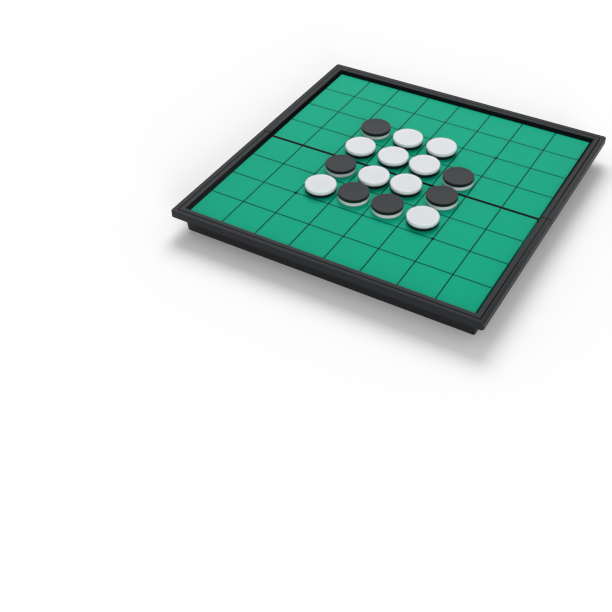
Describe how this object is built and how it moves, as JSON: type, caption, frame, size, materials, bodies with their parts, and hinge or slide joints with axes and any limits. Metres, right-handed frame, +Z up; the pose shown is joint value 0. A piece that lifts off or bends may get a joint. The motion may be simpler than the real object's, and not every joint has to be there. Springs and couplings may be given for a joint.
{
  "type": "reversi board game",
  "caption": "Folding travel reversi board: hinged plastic tray halves with a green squared play surface, set out with reversible black and white magnetic discs.",
  "frame": {"origin": "on the floor under the middle of the seam, with the board open and standing on its lugs", "axes": "+X along the seam and the hinge, to the right; +Y to the rear half; +Z up out of the play surface"},
  "size_m": [0.2484, 0.251, 0.0243],
  "materials": {
    "case_plastic": "fine satin moulded plastic",
    "print_green": "smooth printed film",
    "print_ink": "printed ink",
    "steel_sheet": "tinplate",
    "pin_steel": "drawn wire",
    "disc_white": "satin moulded plastic",
    "disc_black": "satin moulded plastic",
    "magnet": "bonded ferrite"
  },
  "bodies": {
    "rear_half": {"rear_case": "case_plastic", "rear_steel_sheet": "steel_sheet", "rear_print_sheet": "print_green", "rear_grid_lines": "print_ink", "hinge_pin_right": "pin_steel", "disc_c6_white_half": "disc_white", "disc_c6_black_half": "disc_black", "disc_c6_magnet": "magnet", "disc_d6_white_half": "disc_white", "disc_d6_black_half": "disc_black", "disc_d6_magnet": "magnet", "disc_e6_white_half": "disc_white", "disc_e6_black_half": "disc_black", "disc_e6_magnet": "magnet", "disc_c5_white_half": "disc_white", "disc_c5_black_half": "disc_black", "disc_c5_magnet": "magnet", "disc_d5_white_half": "disc_white", "disc_d5_black_half": "disc_black", "disc_d5_magnet": "magnet", "disc_e5_white_half": "disc_white", "disc_e5_black_half": "disc_black", "disc_e5_magnet": "magnet", "disc_f5_white_half": "disc_white", "disc_f5_black_half": "disc_black", "disc_f5_magnet": "magnet"},
    "front_half": {"front_case": "case_plastic", "front_steel_sheet": "steel_sheet", "front_print_sheet": "print_green", "front_grid_lines": "print_ink", "hinge_pin_left": "pin_steel", "disc_c4_white_half": "disc_white", "disc_c4_black_half": "disc_black", "disc_c4_magnet": "magnet", "disc_d4_white_half": "disc_white", "disc_d4_black_half": "disc_black", "disc_d4_magnet": "magnet", "disc_e4_white_half": "disc_white", "disc_e4_black_half": "disc_black", "disc_e4_magnet": "magnet", "disc_f4_white_half": "disc_white", "disc_f4_black_half": "disc_black", "disc_f4_magnet": "magnet", "disc_c3_white_half": "disc_white", "disc_c3_black_half": "disc_black", "disc_c3_magnet": "magnet", "disc_d3_white_half": "disc_white", "disc_d3_black_half": "disc_black", "disc_d3_magnet": "magnet", "disc_e3_white_half": "disc_white", "disc_e3_black_half": "disc_black", "disc_e3_magnet": "magnet", "disc_f3_white_half": "disc_white", "disc_f3_black_half": "disc_black", "disc_f3_magnet": "magnet"}
  },
  "joints": [
    {"name": "fold_hinge", "type": "hinge", "parent": "rear_half", "child": "front_half", "pos_m": [0, 0, 0.002], "axis": [1, 0, 0], "range_deg": [0, 180]}
  ]
}
